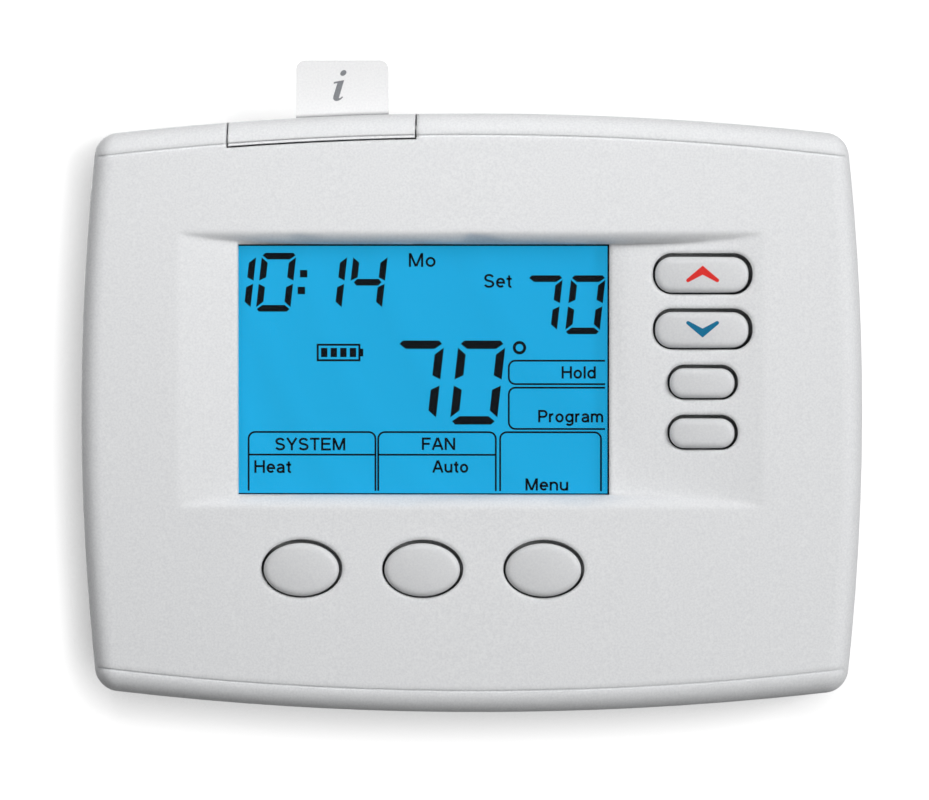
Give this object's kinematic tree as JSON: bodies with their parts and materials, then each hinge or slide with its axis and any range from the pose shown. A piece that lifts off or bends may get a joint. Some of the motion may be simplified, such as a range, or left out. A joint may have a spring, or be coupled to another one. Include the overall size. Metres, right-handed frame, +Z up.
{
  "type": "wall thermostat",
  "caption": "Wall thermostat with a bowed white case, a lit display, sprung keys, a pull-out card in the top edge and a front that pulls off its screwed wall base.",
  "frame": {"origin": "midway between the two wall-screw holes, on the wall plane", "axes": "+X right seen from the front, +Z up, +Y into the wall, so the front faces -Y"},
  "size_m": [0.1534, 0.0341, 0.128],
  "materials": {
    "case_plastic": "moulded white ABS with a fine grain",
    "key_plastic": "satin white ABS",
    "card_plastic": "smooth white card plastic",
    "clear_plastic": "clear acrylic",
    "display_glass": "blue lit liquid crystal glass",
    "light_guide": "frosted clear acrylic",
    "lamp_plastic": "white lamp body",
    "contact_rubber": "layered silicone",
    "holder_plastic": "white polycarbonate",
    "board_laminate": "green solder mask",
    "screw_steel": "zinc plated",
    "component_black": "black moulding compound",
    "relay_plastic": "ivory moulded case",
    "sensor_bead": "dipped bead",
    "housing_plastic": "moulded white ABS",
    "cell_wrap": "printed foil wrap",
    "contact_steel": "nickel plated spring steel",
    "pin_brass": "bright",
    "base_plastic": "moulded white ABS",
    "terminal_plastic": "dark grey nylon"
  },
  "bodies": {
    "base": {"wall_base": "base_plastic", "left_terminal_block": "terminal_plastic", "right_terminal_block": "terminal_plastic", "terminal_clamps": "pin_brass", "terminal_screws": "screw_steel"},
    "card": {"card_cap": "case_plastic", "info_card": "card_plastic"},
    "up_button": {"up_key": "key_plastic", "up_plunger": "component_black"},
    "down_button": {"down_key": "key_plastic", "down_plunger": "component_black"},
    "run_button": {"run_key": "key_plastic", "run_plunger": "component_black"},
    "hold_button": {"hold_key": "key_plastic", "hold_plunger": "component_black"},
    "system_button": {"system_key": "key_plastic", "system_plunger": "component_black"},
    "fan_button": {"fan_key": "key_plastic", "fan_plunger": "component_black"},
    "menu_button": {"menu_key": "key_plastic", "menu_plunger": "component_black"},
    "front": {"front_cover": "case_plastic", "display_lens": "clear_plastic", "lcd_glass": "display_glass", "backlight_guide": "light_guide", "backlight_lamps": "lamp_plastic", "contact_strips": "contact_rubber", "display_holder": "holder_plastic", "main_board": "board_laminate", "board_screws": "screw_steel", "relays": "relay_plastic", "controller_chip": "component_black", "room_sensor": "sensor_bead", "rear_housing": "housing_plastic", "housing_screws": "screw_steel", "battery_cells": "cell_wrap", "battery_leaves": "contact_steel", "battery_plates": "contact_steel", "left_pin_header": "component_black", "right_pin_header": "component_black", "contact_pins": "pin_brass", "key_switches": "component_black"}
  },
  "joints": [
    {"name": "front_pull_off", "type": "slide", "parent": "base", "child": "front", "axis": [0, -1, 0], "range_m": [0, 0.04]},
    {"name": "card_pull_out", "type": "slide", "parent": "front", "child": "card", "axis": [0, 0, 1], "range_m": [0, 0.055]},
    {"name": "up_press", "type": "slide", "parent": "front", "child": "up_button", "axis": [0, 1, 0], "range_m": [0, 0.0008], "stiffness_N_per_m": 500, "springref_m": -0.0015},
    {"name": "down_press", "type": "slide", "parent": "front", "child": "down_button", "axis": [0, 1, 0], "range_m": [0, 0.0008], "stiffness_N_per_m": 500, "springref_m": -0.0015},
    {"name": "run_press", "type": "slide", "parent": "front", "child": "run_button", "axis": [0, 1, 0], "range_m": [0, 0.0008], "stiffness_N_per_m": 500, "springref_m": -0.0015},
    {"name": "hold_press", "type": "slide", "parent": "front", "child": "hold_button", "axis": [0, 1, 0], "range_m": [0, 0.0008], "stiffness_N_per_m": 500, "springref_m": -0.0015},
    {"name": "system_press", "type": "slide", "parent": "front", "child": "system_button", "axis": [0, 1, 0], "range_m": [0, 0.0008], "stiffness_N_per_m": 500, "springref_m": -0.0015},
    {"name": "fan_press", "type": "slide", "parent": "front", "child": "fan_button", "axis": [0, 1, 0], "range_m": [0, 0.0008], "stiffness_N_per_m": 500, "springref_m": -0.0015},
    {"name": "menu_press", "type": "slide", "parent": "front", "child": "menu_button", "axis": [0, 1, 0], "range_m": [0, 0.0008], "stiffness_N_per_m": 500, "springref_m": -0.0015}
  ]
}
